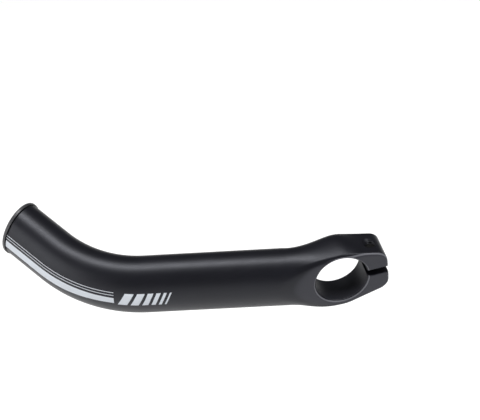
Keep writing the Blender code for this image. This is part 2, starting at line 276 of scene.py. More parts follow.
def cut_and_settle(piece, cutters):
    """Takes each cutter out of the piece, then keeps only the finished mesh."""
    for cutter in cutters:
        boolean = piece.modifiers.new(cutter.name, "BOOLEAN")
        boolean.operation = "DIFFERENCE"
        boolean.solver = "MANIFOLD"
        boolean.object = cutter
    graph = bpy.context.evaluated_depsgraph_get()
    finished = bpy.data.meshes.new_from_object(piece.evaluated_get(graph), depsgraph=graph)
    piece.modifiers.clear()
    piece.data = finished
    for cutter in cutters:
        bpy.data.objects.remove(cutter, do_unlink=True)


def sharpen(piece):
    """Smooth shading that keeps creases and lets flat faces look flat."""
    piece.data.shade_smooth()
    piece.data.set_sharp_from_angle(angle=SHARP_ANGLE)
    weighted = piece.modifiers.new("weighted_normals", "WEIGHTED_NORMAL")
    weighted.keep_sharp = True


def turned_mesh(name, profile, segments, centre, axis):
    """Solid of revolution; the profile lists (radius, distance along the axis)."""
    side = axis.orthogonal().normalized()
    across = axis.cross(side)
    rings = []
    for radius, along in profile:
        ring = []
        for i in range(segments):
            angle = 2 * math.pi * i / segments
            spoke = side * math.cos(angle) + across * math.sin(angle)
            ring.append(centre + axis * along + spoke * radius)
        rings.append(ring)
    return mesh_from_rings(name, rings)


def rounded(profile, radius):
    """Profile whose inner corners are turned into arcs of a small radius."""
    points = [Vector(p) for p in profile]
    result = [profile[0]]
    for before, corner, after in zip(points, points[1:], points[2:]):
        into = corner - before
        out = after - corner
        turn = into.angle_signed(out, 0.0) if into.length > TINY and out.length > TINY else 0.0
        reach = abs(math.tan(turn / 2)) * radius
        limit = ARC_SHARE * min(into.length, out.length)
        if abs(turn) < LEAST_TURN or limit < TINY:
            result.append(tuple(corner))
            continue
        reach = min(reach, limit)
        start = corner - into.normalized() * reach
        end = corner + out.normalized() * reach
        for i in range(ARC_STEPS + 1):
            t = i / ARC_STEPS
            point = start * (1 - t) ** 2 + corner * 2 * t * (1 - t) + end * t ** 2
            result.append(tuple(point))
    result.append(profile[-1])
    return result


def smooth_step(value):
    t = min(max(value, 0.0), 1.0)
    return t * t * (3 - 2 * t)


def blend_min(first, second, width):
    """Smaller of two lengths, rounded over where they are nearly equal."""
    overlap = max(width - abs(first - second), 0.0)
    return min(first, second) - overlap * overlap / (4 * width)


def tube_axis_y(x):
    """Y of the straight tube's axis, carried on into the clamp."""
    outer_line = FACE_Y - (x - ARM_START_X) * math.tan(ARM_ANGLE)
    return outer_line - TUBE_A / math.cos(ARM_ANGLE)


def inner_face_y(x):
    """Inboard face: flat at the ears, then a milled arc that opens to the arm."""
    run = x - INNER_RISE_START
    if run <= 0:
        return -FACE_Y
    if run >= INNER_RISE_RADIUS:
        return -FAR_AWAY
    return -FACE_Y - INNER_RISE_RADIUS + math.sqrt(INNER_RISE_RADIUS ** 2 - run ** 2)


def taper_height(x):
    """Half height of the ears: a line tangent to the ring, falling to the end."""
    return (RING_RADIUS + x * math.sin(EAR_TAPER)) / math.cos(EAR_TAPER)


def side_height(x):
    """Half height of the clamp before its crown: the ring, tapered ears and rounded corners."""
    if x >= 0:
        return RING_RADIUS
    if x >= -RING_RADIUS * math.sin(EAR_TAPER):
        return math.sqrt(RING_RADIUS ** 2 - x ** 2)
    corner = min(EAR_CORNER_RADIUS, taper_height(EAR_END_X) - SLOT_WIDTH)
    centre_x = EAR_END_X + corner
    centre_z = taper_height(centre_x) - corner / math.cos(EAR_TAPER)
    if x >= centre_x - corner * math.sin(EAR_TAPER):
        return taper_height(x)
    return centre_z + math.sqrt(max(corner ** 2 - (x - centre_x) ** 2, 0.0))


def ray_to_oval(centre_y, angle, axis_y, half_width, half_height):
    """Length of a ray from (centre_y, 0) to an ellipse centred at (axis_y, 0)."""
    offset = (centre_y - axis_y) / half_width
    run = math.cos(angle) / half_width
    rise = math.sin(angle) / half_height
    square = run * run + rise * rise
    middle = offset * run
    inside = middle * middle - square * (offset * offset - 1)
    return (-middle + math.sqrt(max(inside, 0.0))) / square


def crowned_height(x, y):
    """Half height of the clamp's upper side, which is crowned across its width beside the arm."""
    share = smooth_step((x - CROWN_START_X) / CROWN_FADE)
    if y < CROWN_Y:
        rise = CROWN_RISE * (1 - ((y - CROWN_Y) / (FACE_Y + CROWN_Y)) ** 2)
    else:
        rise = CROWN_RISE - CROWN_DROP * ((y - CROWN_Y) / (FACE_Y - CROWN_Y)) ** 2
    return side_height(x) + rise * share


def ray_to_crown(x, centre_y, angle):
    """Length of a ray from (centre_y, 0) to the crowned upper side."""
    sine = max(math.sin(angle), TINY)
    reach = side_height(x) / sine
    for _ in range(CROWN_PASSES):
        y = centre_y + reach * math.cos(angle)
        reach = crowned_height(x, min(max(y, -FACE_Y), FACE_Y)) / sine
    return reach


def clamp_outline(x, centre_y, crowned):
    """Upper half outline of the clamp end at x, as (y, z) from +Y round to -Y.

    The flat-sided section of the clamp turns into the arm's oval, which the two
    faces of the clamp still cut.
    """
    soft = EDGE_BLEND
    if crowned:
        by_arm = smooth_step((x - CROWN_START_X) / CROWN_FADE)
        soft = TOP_EDGE_EAR + (TOP_EDGE_RING - TOP_EDGE_EAR) * by_arm
    axis_y = tube_axis_y(x)
    half_width = TUBE_A / math.cos(ARM_ANGLE)
    arm_share = smooth_step(x / ARM_START_X)
    face_blend = EDGE_BLEND + (FACE_BLEND - EDGE_BLEND) * arm_share
    outline = []
    for i in range(SECTION_RAYS + 1):
        angle = math.pi * i / SECTION_RAYS
        cosine = math.cos(angle)
        sine = max(math.sin(angle), TINY)
        to_outer = (FACE_Y - centre_y) / cosine if cosine > TINY else FAR_AWAY
        to_flat = (FACE_Y + centre_y) / -cosine if cosine < -TINY else FAR_AWAY
        to_inner = (centre_y - inner_face_y(x)) / -cosine if cosine < -TINY else FAR_AWAY
        side = ray_to_crown(x, centre_y, angle) if crowned else side_height(x) / sine
        plate = blend_min(side, to_outer, soft)
        plate = blend_min(plate, to_flat, EDGE_BLEND)
        oval = ray_to_oval(centre_y, angle, axis_y, half_width, TUBE_B)
        oval = blend_min(oval, to_outer, face_blend)
        oval = blend_min(oval, to_inner, face_blend)
        reach = plate + (oval - plate) * arm_share
        outline.append((centre_y + reach * cosine, reach * sine))
    return outline


def oval_outline(half_width, half_height):
    """Upper half of an ellipse about the origin, as (across, up)."""
    outline = []
    for i in range(SECTION_RAYS + 1):
        angle = math.pi * i / SECTION_RAYS
        outline.append((half_width * math.cos(angle), half_height * math.sin(angle)))
    return outline


def even_points(outline, count):
    """Points along a half outline, closer together where it turns sharply."""
    lengths = [math.dist(a, b) for a, b in zip(outline, outline[1:])]
    headings = [math.atan2(b[1] - a[1], b[0] - a[0]) for a, b in zip(outline, outline[1:])]
    total_length = sum(lengths)
    weight = [0.0]
    for i, length in enumerate(lengths):
        turn = 0.0
        if i > 0:
            turn = abs(math.remainder(headings[i] - headings[i - 1], 2 * math.pi))
        step = (1 - TURN_SHARE) * length / total_length + TURN_SHARE * turn / math.pi
        weight.append(weight[-1] + step)
    points = []
    place = 0
    for k in range(count + 1):
        goal = weight[-1] * k / count
        while place < len(weight) - 2 and weight[place + 1] < goal:
            place += 1
        span = weight[place + 1] - weight[place]
        share = (goal - weight[place]) / span if span > 0 else 0.0
        share = min(max(share, 0.0), 1.0)
        a = outline[place]
        b = outline[place + 1]
        points.append((a[0] + (b[0] - a[0]) * share, a[1] + (b[1] - a[1]) * share))
    return points


def closed_section(outline, count, under=None):
    """Full ring of (across, up) points from its upper half, and its under half if it differs."""
    upper = even_points(outline, count // 2)
    below = even_points(under, count // 2) if under else upper
    return upper + [(across, -height) for across, height in reversed(below[1:-1])]


def inset_section(section, centre, inset):
    """Section with each point drawn towards the centre by a set distance."""
    moved = []
    for across, height in section:
        reach = math.hypot(across - centre, height)
        scale = max(reach - inset, 0.0) / reach
        moved.append((centre + (across - centre) * scale, height * scale))
    return moved


def place_section(section, origin, across_axis, up_axis):
    return [origin + across_axis * across + up_axis * height for across, height in section]


def clamp_end_x():
    """X past which only the plain oval tube remains."""
    return ARM_START_X + TUBE_THICKNESS / 2


def clamp_stations():
    """X of each section of the clamp end, with its inset at the rounded ear end."""
    stations = []
    for i in range(ROUND_STEPS):
        angle = math.pi / 2 * i / ROUND_STEPS
        x = EAR_END_X + EAR_END_ROUNDING * (1 - math.cos(angle))
        stations.append((x, EAR_END_ROUNDING * (1 - math.sin(angle))))
    start = EAR_END_X + EAR_END_ROUNDING
    corner_end = EAR_END_X + EAR_CORNER_RADIUS
    for i in range(CORNER_STEPS):
        stations.append((start + (corner_end - start) * (i / CORNER_STEPS) ** CORNER_CROWDING, 0.0))
    run = clamp_end_x() - corner_end
    steps = math.ceil(run / CLAMP_STATION_STEP)
    for i in range(steps + 1):
        stations.append((corner_end + run * i / steps, 0.0))
    return stations


def clamp_rings():
    rings = []
    for x, inset in clamp_stations():
        centre_y = tube_axis_y(x) * smooth_step(x / clamp_end_x())
        upper = clamp_outline(x, centre_y, True)
        section = closed_section(upper, SECTION_POINTS, clamp_outline(x, centre_y, False))
        if inset > 0:
            section = inset_section(section, centre_y, inset)
        rings.append([Vector((x, y, z)) for y, z in section])
    return rings


def frame_at(distance):
    """Centre and the two section axes of the arm, a distance along its axis.

    Distance 0 is where the arm leaves the clamp's face.  The arm runs straight
    and then bends, in a plane that is rolled upwards.
    """
    start = Vector((ARM_START_X, FACE_Y, 0.0)) - ARM_OUTWARD * TUBE_A
    if distance <= STRAIGHT_LENGTH:
        return start + ARM_DIRECTION * distance, ARM_OUTWARD, UP
    roll = TIP_BEND_ROLL
    inward = -ARM_OUTWARD * math.cos(roll) + UP * math.sin(roll)
    hinge_axis = ARM_OUTWARD * math.sin(roll) + UP * math.cos(roll)
    angle = min((distance - STRAIGHT_LENGTH) / TIP_BEND_RADIUS, TIP_BEND_ANGLE)
    heading = ARM_DIRECTION * math.cos(angle) + inward * math.sin(angle)
    outward = hinge_axis.cross(heading)
    across = outward * math.cos(roll) + hinge_axis * math.sin(roll)
    up = hinge_axis * math.cos(roll) - outward * math.sin(roll)
    shift = ARM_DIRECTION * math.sin(angle) + inward * (1 - math.cos(angle))
    place = start + ARM_DIRECTION * STRAIGHT_LENGTH + shift * TIP_BEND_RADIUS
    past = distance - STRAIGHT_LENGTH - TIP_BEND_RADIUS * TIP_BEND_ANGLE
    return place + heading * max(past, 0.0), across, up


def arm_length():
    return STRAIGHT_LENGTH + TIP_BEND_RADIUS * TIP_BEND_ANGLE + TIP_LENGTH


def tube_rings(start_x, inset, extra, count):
    """Oval rings that start square to X and soon turn square to the arm."""
    axis_start = Vector((start_x, tube_axis_y(start_x), 0.0))
    first = (axis_start - frame_at(0.0)[0]).dot(ARM_DIRECTION)
    bend_end = STRAIGHT_LENGTH + TIP_BEND_RADIUS * TIP_BEND_ANGLE
    rings = []
    for i in range(STRAIGHT_STEPS):
        share = i / STRAIGHT_STEPS
        turn = ARM_ANGLE * min(share * 2, 1.0)
        across = Vector((math.sin(turn), math.cos(turn), 0.0))
        place = frame_at(first + (STRAIGHT_LENGTH - first) * share)[0]
        half_width = (TUBE_A - inset) / math.cos(ARM_ANGLE - turn)
        section = closed_section(oval_outline(half_width, TUBE_B - inset), count)
        rings.append(place_section(section, place, across, UP))
    distances = []
    for i in range(BEND_STATIONS):
        distances.append(STRAIGHT_LENGTH + (bend_end - STRAIGHT_LENGTH) * i / BEND_STATIONS)
    for i in range(TIP_STEPS + 1):
        distances.append(bend_end + (TIP_LENGTH + extra) * i / TIP_STEPS)
    section = closed_section(oval_outline(TUBE_A - inset, TUBE_B - inset), count)
    for distance in distances:
        rings.append(place_section(section, *frame_at(distance)))
    return rings


def tip_frame():
    """Centre of the tube's open end, its two section axes and its outward heading."""
    origin, across, up = frame_at(arm_length())
    return origin, across, up, across.cross(up)


def rounded_mouth(rings):
    """Last ring drawn in along a small arc."""
    origin, across, up, heading = tip_frame()
    result = rings[:-1]
    for i in range(ROUND_STEPS + 1):
        angle = math.pi / 2 * i / ROUND_STEPS
        inset = TUBE_MOUTH_ROUNDING * (1 - math.cos(angle))
        back = TUBE_MOUTH_ROUNDING * (1 - math.sin(angle))
        section = closed_section(oval_outline(TUBE_A - inset, TUBE_B - inset), SECTION_POINTS)
        result.append(place_section(section, origin - heading * back, across, up))
    return result


def bore_cutter():
    """Bore with a softened chamfer at both faces; the inboard one runs on past the arm."""
    wide = BORE_RADIUS + BORE_CHAMFER
    deep = FACE_Y - BORE_CHAMFER
    edge = FACE_Y + CHAMFER_OVERRUN
    behind = -(FACE_Y + INNER_RISE_RADIUS)
    flare = wide + 3 * CHAMFER_OVERRUN
    mouth = FACE_Y - CHAMFER_OVERRUN / 4
    profile = [(flare, behind), (flare, -edge), (wide, -mouth), (BORE_RADIUS, -deep),
               (BORE_RADIUS, deep), (wide, mouth), (flare, edge), (flare, edge + CUT_MARGIN)]
    profile = rounded(profile, MOUTH_ROUNDING * 2)
    axis = Vector((0.0, 1.0, 0.0))
    mesh = turned_mesh("bore_cutter", profile, ROUND_SEGMENTS, Vector(), axis)
    return add_piece("bore_cutter", mesh, None)


def slot_cutter():
    """Saw cut whose edges are broken at both faces and at the ear end."""
    far_y = FACE_Y + CUT_MARGIN
    rings = []
    for x in (EAR_END_X - CUT_MARGIN, EAR_END_X + SLOT_EDGE, 0.0):
        flare = max(EAR_END_X + SLOT_EDGE - x, 0.0)
        half = SLOT_WIDTH / 2 + flare
        widths = ((-far_y, half + SLOT_EDGE + CUT_MARGIN), (-FACE_Y + SLOT_EDGE, half),
                  (FACE_Y - SLOT_EDGE, half), (far_y, half + SLOT_EDGE + CUT_MARGIN))
        lower = [Vector((x, y, -z)) for y, z in widths]
        upper = [Vector((x, y, z)) for y, z in reversed(widths)]
        rings.append(lower + upper)
    return add_piece("slot_cutter", mesh_from_rings("slot_cutter", rings), None)


def thread_share(turn_place):
    """Height of a thread's flank, 0 at the root and 1 at the crest."""
    place = abs(math.remainder(turn_place, 1.0)) * 2
    rise = (1 - place - THREAD_CREST_SHARE / 2) / (1 - THREAD_CREST_SHARE)
    return smooth_step(rise)


def threaded_rings(profile_radius, heights, crest, centre):
    """Rings of a thread; profile_radius(z, share) gives each radius."""
    rings = []
    for z in heights:
        ring = []
        for i in range(BOLT_SEGMENTS):
            angle = 2 * math.pi * i / BOLT_SEGMENTS
            share = thread_share(z / THREAD_PITCH - angle / (2 * math.pi))
            radius = profile_radius(z, crest - THREAD_DEPTH * (1 - share))
            ring.append(centre + Vector((radius * math.cos(angle), radius * math.sin(angle), z)))
        rings.append(ring)
    return rings


def stepped(start, end, step):
    count = max(math.ceil((end - start) / step), 1)
    return [start + (end - start) * i / count for i in range(count + 1)]


def bolt_hole_cutter():
    """Clearance hole and counterbore in the lower ear."""
    wide = max(HEAD_DIAMETER, WASHER_DIAMETER) / 2 + COUNTERBORE_CLEARANCE
    below = -(RING_RADIUS + CUT_MARGIN)
    flared = BOLT_HOLE_RADIUS + SLOT_EDGE
    profile = [(wide, below), (wide, SEAT_Z), (BOLT_HOLE_RADIUS, SEAT_Z),
               (BOLT_HOLE_RADIUS, -SLOT_WIDTH / 2 - SLOT_EDGE), (flared, -SLOT_WIDTH / 2),
               (flared, 0.0)]
    centre = Vector((BOLT_X, 0.0, 0.0))
    mesh = turned_mesh("bolt_hole_cutter", profile, BOLT_SEGMENTS, centre, UP)
    return add_piece("bolt_hole_cutter", mesh, None)


def thread_cutter():
    """Threaded hole in the upper ear, countersunk at both ends."""
    crest = BOLT_DIAMETER / 2 + THREAD_PLAY
    low = SLOT_WIDTH / 2
    high = taper_height(BOLT_X)
    wide = crest + EXIT_CHAMFER

    def radius_at(z, radius):
        sunk = max(radius, wide - (z - low), wide - (high - z))
        return min(sunk, wide + EXIT_CHAMFER)

    heights = stepped(0.0, RING_RADIUS + CUT_MARGIN, THREAD_PITCH / THREAD_STEPS)
    rings = threaded_rings(radius_at, heights, crest, Vector((BOLT_X, 0.0, 0.0)))
    return add_piece("thread_cutter", mesh_from_rings("thread_cutter", rings), None)


def hollow_cutter():
    rings = tube_rings(HOLLOW_START, TUBE_WALL, CUT_MARGIN, HOLLOW_POINTS)
    return add_piece("hollow_cutter", mesh_from_rings("hollow_cutter", rings), None)


def build_body(finish):
    rings = clamp_rings()
    rings += tube_rings(clamp_end_x(), 0.0, 0.0, SECTION_POINTS)[1:]
    body = add_piece("arm_and_clamp", mesh_from_rings("arm_and_clamp", rounded_mouth(rings)), finish)
    cutters = [hollow_cutter(), bore_cutter(), slot_cutter(), bolt_hole_cutter(), thread_cutter()]
    cut_and_settle(body, cutters)
    sharpen(body)
    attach(body, "bar_end")
    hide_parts("bar_end_body")


def build_plug(plastic):
    """Cup with a rimmed flange; each ring is the tube's oval drawn in by a distance."""
    origin, across, up, heading = tip_frame()
    barrel = TUBE_WALL + SEAT_GAP
    cup = barrel + PLUG_BARREL_WALL
    top = SEAT_GAP + PLUG_FLANGE_THICKNESS
    groove_start = PLUG_RIM_WIDTH
    groove_end = groove_start + PLUG_GROOVE_WIDTH
    profile = [(cup, top - PLUG_GROOVE_DEPTH - PLUG_FLOOR),
               (cup, -PLUG_BARREL_LENGTH),
               (barrel + PLUG_LEAD_IN, -PLUG_BARREL_LENGTH),
               (barrel, -PLUG_BARREL_LENGTH + 2 * PLUG_LEAD_IN),
               (barrel, SEAT_GAP),
               (-PLUG_OVERHANG, SEAT_GAP)]
    for i in range(ROUND_STEPS + 1):
        angle = math.pi / 2 * i / ROUND_STEPS
        inset = -PLUG_OVERHANG + PLUG_RIM_ROUNDING * (1 - math.cos(angle))
        profile.append((inset, top - PLUG_RIM_ROUNDING * (1 - math.sin(angle))))
    lip = [(PLUG_RIM_ROUNDING, top),
           (groove_start, top),
           (groove_start, top - PLUG_GROOVE_DEPTH),
           (groove_end, top - PLUG_GROOVE_DEPTH),
           (groove_end, top),
           (groove_end + 2 * PLUG_GROOVE_WIDTH, top)]
    profile += rounded(lip, PLUG_EDGE_ROUNDING)[1:-1]
    for i in range(1, CROWN_STEPS + 1):
        share = i / CROWN_STEPS
        inset = groove_end + (PLUG_CROWN_EDGE - groove_end) * share
        profile.append((inset, top + PLUG_CROWN * smooth_step(share)))
    rings = []
    for inset, along in profile:
        section = closed_section(oval_outline(TUBE_A - inset, TUBE_B - inset), PLUG_POINTS)
        rings.append(place_section(section, origin + heading * along, across, up))
    plug = add_piece("grooved_plug", mesh_from_rings("grooved_plug", rings), plastic)
    sharpen(plug)
    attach(plug, "bar_end")
    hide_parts("end_plug")


def build_washer(steel):
    """Flat ring with softened edges, as one closed loop of turned rings."""
    outer = WASHER_DIAMETER / 2
    middle = (BOLT_HOLE_RADIUS + outer) / 2
    top = WASHER_TOP_Z
    bottom = top - WASHER_THICKNESS
    profile = [(middle, top), (outer, top), (outer, bottom), (BOLT_HOLE_RADIUS, bottom),
               (BOLT_HOLE_RADIUS, top), (middle, top)]
    profile = rounded(profile, WASHER_EDGE_ROUNDING)[:-1]
    work = bmesh.new()
    loops = []
    for radius, along in profile:
        loop = []
        for i in range(BOLT_SEGMENTS):
            angle = 2 * math.pi * i / BOLT_SEGMENTS
            point = (BOLT_X + radius * math.cos(angle), radius * math.sin(angle), along)
            loop.append(work.verts.new(point))
        loops.append(loop)
    for k in range(len(loops)):
        first = loops[k]
        second = loops[(k + 1) % len(loops)]
        for i in range(BOLT_SEGMENTS):
            j = (i + 1) % BOLT_SEGMENTS
            work.faces.new((first[i], first[j], second[j], second[i]))
    bmesh.ops.recalc_face_normals(work, faces=work.faces)
    mesh = bpy.data.meshes.new("flat_washer")
    work.to_mesh(mesh)
    work.free()
    washer = add_piece("flat_washer", mesh, steel)
    sharpen(washer)
    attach(washer, "washer")
    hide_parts("bolt_washer")


def head_rings(centre):
    """Knurled head, from its chamfered lower edge up to its bearing face."""
    bottom = HEAD_TOP_Z - HEAD_HEIGHT
    head = HEAD_DIAMETER / 2
    smooth = [(head - HEAD_CHAMFER, bottom), (head - HEAD_CHAMFER / 3, bottom + HEAD_CHAMFER / 2)]
    knurled = [(head, bottom + HEAD_CHAMFER), (head, HEAD_TOP_Z - HEAD_CHAMFER)]
    under = [(head - HEAD_CHAMFER / 2, HEAD_TOP_Z - HEAD_CHAMFER / 3), (head - HEAD_CHAMFER, HEAD_TOP_Z)]
    rings = []
    for radius, z in smooth + knurled + under:
        ring = []
        for i in range(BOLT_SEGMENTS):
            angle = 2 * math.pi * i / BOLT_SEGMENTS
            dip = KNURL_DEPTH if radius == head and i % 2 else 0.0
            reach = radius - dip
            ring.append(centre + Vector((reach * math.cos(angle), reach * math.sin(angle), z)))
        rings.append(ring)
    return rings


def build_bolt(black_steel):
    """Cap screw: knurled head below, full thread up to its chamfered end."""
    centre = Vector((BOLT_X, 0.0, 0.0))
    tip = HEAD_TOP_Z + BOLT_LENGTH
    crest = BOLT_DIAMETER / 2
    root = crest - THREAD_DEPTH

    def radius_at(z, radius):
        run_out = smooth_step((z - HEAD_TOP_Z) / THREAD_RUN_OUT)
        radius = root + (radius - root) * run_out
        return min(radius, crest - BOLT_TIP_CHAMFER + (tip - z))

    rings = head_rings(centre)
    heights = stepped(HEAD_TOP_Z, tip, THREAD_PITCH / THREAD_STEPS)
    rings += threaded_rings(radius_at, heights, crest, centre)
    bolt = add_piece("socket_head_bolt", mesh_from_rings("socket_head_bolt", rings), black_steel)
    corner = SOCKET_ACROSS_FLATS / math.sqrt(3)
    bottom = HEAD_TOP_Z - HEAD_HEIGHT
    floor = bottom + SOCKET_DEPTH
    point = (SOCKET_FLOOR_SHARE * corner, floor + SOCKET_CONE_SHARE * corner)
    hexagon = [(corner, bottom - CUT_MARGIN), (corner, floor), point]
    inner = (corner * (1 - SOCKET_LEAD_SHARE), bottom + SOCKET_LEAD_SHARE * corner)
    lead = [(corner + CUT_MARGIN, bottom - CUT_MARGIN), inner]
    socket_mesh = turned_mesh("socket_cutter", hexagon, SOCKET_SIDES, centre, UP)
    lead_mesh = turned_mesh("lead_cutter", lead, BOLT_SEGMENTS, centre, UP)
    cutters = [add_piece("socket_cutter", socket_mesh, None), add_piece("lead_cutter", lead_mesh, None)]
    cut_and_settle(bolt, cutters)
    sharpen(bolt)
    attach(bolt, "bolt")
    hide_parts("clamp_bolt")


def arm_surface(distance, angle, lift):
    """Point over the arm's skin, a distance along its axis and an angle round it."""
    origin, across, up = frame_at(distance)
    run = across * (math.cos(angle) * TUBE_A) + up * (math.sin(angle) * TUBE_B)
    normal = across * (math.cos(angle) / TUBE_A) + up * (math.sin(angle) / TUBE_B)
    return origin + run + normal.normalized() * lift


def printed_patch(name, start, end, low, high, ink, slant=0.0, steps=60, rows=6):
    """Thin closed shell on the arm's skin.

    low and high give the lower and upper angle at a share of the length, and
    slant shifts the upper edge along the arm.
    """
    work = bmesh.new()
    skins = []
    for lift in (PRINT_RISE, -PRINT_SINK):
        grid = []
        for i in range(steps + 1):
            share = i / steps
            row = []
            for j in range(rows + 1):
                up_share = j / rows
                angle = low(share) + (high(share) - low(share)) * up_share
                distance = start + (end - start) * share + slant * up_share
                row.append(work.verts.new(arm_surface(distance, angle, lift)))
            grid.append(row)
        skins.append(grid)
    outer, inner = skins
    for grid in skins:
        for i in range(steps):
            for j in range(rows):
                work.faces.new((grid[i][j], grid[i + 1][j], grid[i + 1][j + 1], grid[i][j + 1]))
    for i in range(steps):
        for j in (0, rows):
            work.faces.new((outer[i][j], outer[i + 1][j], inner[i + 1][j], inner[i][j]))
    for j in range(rows):
        for i in (0, steps):
            work.faces.new((outer[i][j], outer[i][j + 1], inner[i][j + 1], inner[i][j]))
    bmesh.ops.recalc_face_normals(work, faces=work.faces)
    mesh = bpy.data.meshes.new(name)
    work.to_mesh(mesh)
    work.free()
    patch = add_piece(name, mesh, ink)
    mesh.set_sharp_from_angle(angle=SHARP_ANGLE)
    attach(patch, "bar_end")


def build_print(ink):
    """Silver band with two thin lines over it, and slanted bars that grow thinner."""
    def band_low(share):
        wider = smooth_step(share * BAND_WIDENING)
        return BAND_BOTTOM_START + (BAND_BOTTOM_END - BAND_BOTTOM_START) * wider

    printed_patch("printed_band", PRINT_START, PRINT_END, band_low, lambda share: BAND_TOP, ink)
    for number, angle in enumerate(LINE_ANGLES):
        half = LINE_WIDTH / 2 / TUBE_B
        printed_patch(f"printed_line_{number + 1}", PRINT_START, PRINT_END,
                      lambda share, a=angle, h=half: a - h,
                      lambda share, a=angle, h=half: a + h, ink, rows=1)
    place = PRINT_START - BAR_GAP
    for number in range(BAR_COUNT):
        share = number / (BAR_COUNT - 1)
        width = BAR_FIRST_WIDTH + (BAR_LAST_WIDTH - BAR_FIRST_WIDTH) * share
        printed_patch(f"printed_bar_{number + 1}", place - width, place,
                      lambda share: BAR_BOTTOM, lambda share: BAR_TOP, ink,
                      slant=-BAR_SLANT, steps=6, rows=12)
        place -= width + BAR_GAP


def node_tree(name):
    material = bpy.data.materials.new(name)
    material.use_nodes = True
    tree = material.node_tree
    shader = tree.nodes["Principled BSDF"]
    return material, tree, shader


def add_noise(tree, scale, detail, stretch=(1.0, 1.0, 1.0)):
    """Noise in the object's own coordinates, stretched by a scale on each axis."""
    coordinates = tree.nodes.new("ShaderNodeTexCoord")
    mapping = tree.nodes.new("ShaderNodeMapping")
    mapping.inputs["Scale"].default_value = stretch
    noise = tree.nodes.new("ShaderNodeTexNoise")
    noise.inputs["Scale"].default_value = scale
    noise.inputs["Detail"].default_value = detail
    tree.links.new(coordinates.outputs["Object"], mapping.inputs["Vector"])
    tree.links.new(mapping.outputs["Vector"], noise.inputs["Vector"])
    return noise.outputs["Fac"]


def spread(tree, value, low, high):
    """Maps 0.3 to 0.7 of a noise onto low to high."""
    node = tree.nodes.new("ShaderNodeMapRange")
    node.inputs["From Min"].default_value = 0.3
    node.inputs["From Max"].default_value = 0.7
    node.inputs["To Min"].default_value = low
    node.inputs["To Max"].default_value = high
    tree.links.new(value, node.inputs["Value"])
    return node.outputs["Result"]


def tint(tree, value, dark, light):
    """Colour between two, by a noise."""
    node = tree.nodes.new("ShaderNodeMix")
    node.data_type = "RGBA"
    node.inputs["A"].default_value = (*dark, 1.0)
    node.inputs["B"].default_value = (*light, 1.0)
    tree.links.new(spread(tree, value, 0.0, 1.0), node.inputs["Factor"])
    return node.outputs["Result"]


def add_bump(tree, value, distance, before=None):
    node = tree.nodes.new("ShaderNodeBump")
    node.inputs["Strength"].default_value = 1.0
    node.inputs["Distance"].default_value = distance
    tree.links.new(value, node.inputs["Height"])
    if before is not None:
        tree.links.new(before, node.inputs["Normal"])
    return node.outputs["Normal"]


def textured(name, dark, light, rough, rough_spread, metallic, grain, grain_depth):
    """Material whose colour, roughness and surface all vary a little."""
    material, tree, shader = node_tree(name)
    cloud = add_noise(tree, scale=140.0, detail=3.0)
    fine = add_noise(tree, scale=grain, detail=4.0)
    tree.links.new(tint(tree, cloud, dark, light), shader.inputs["Base Color"])
    roughness = spread(tree, fine, rough - rough_spread, rough + rough_spread)
    tree.links.new(roughness, shader.inputs["Roughness"])
    tree.links.new(add_bump(tree, fine, grain_depth), shader.inputs["Normal"])
    shader.inputs["Metallic"].default_value = metallic
    return material


def maths(tree, operation, *values):
    """Math node whose inputs are numbers or the outputs of other nodes."""
    node = tree.nodes.new("ShaderNodeMath")
    node.operation = operation
    for place, value in enumerate(values):
        if isinstance(value, float):
            node.inputs[place].default_value = value
        else:
            tree.links.new(value, node.inputs[place])
    return node.outputs["Value"]


def mixed(tree, share, first, colour):
    """Colour of an output, mixed with a fixed colour by a share."""
    node = tree.nodes.new("ShaderNodeMix")
    node.data_type = "RGBA"
    node.inputs["B"].default_value = (*colour, 1.0)
    tree.links.new(share, node.inputs["Factor"])
    tree.links.new(first, node.inputs["A"])
    return node.outputs["Result"]


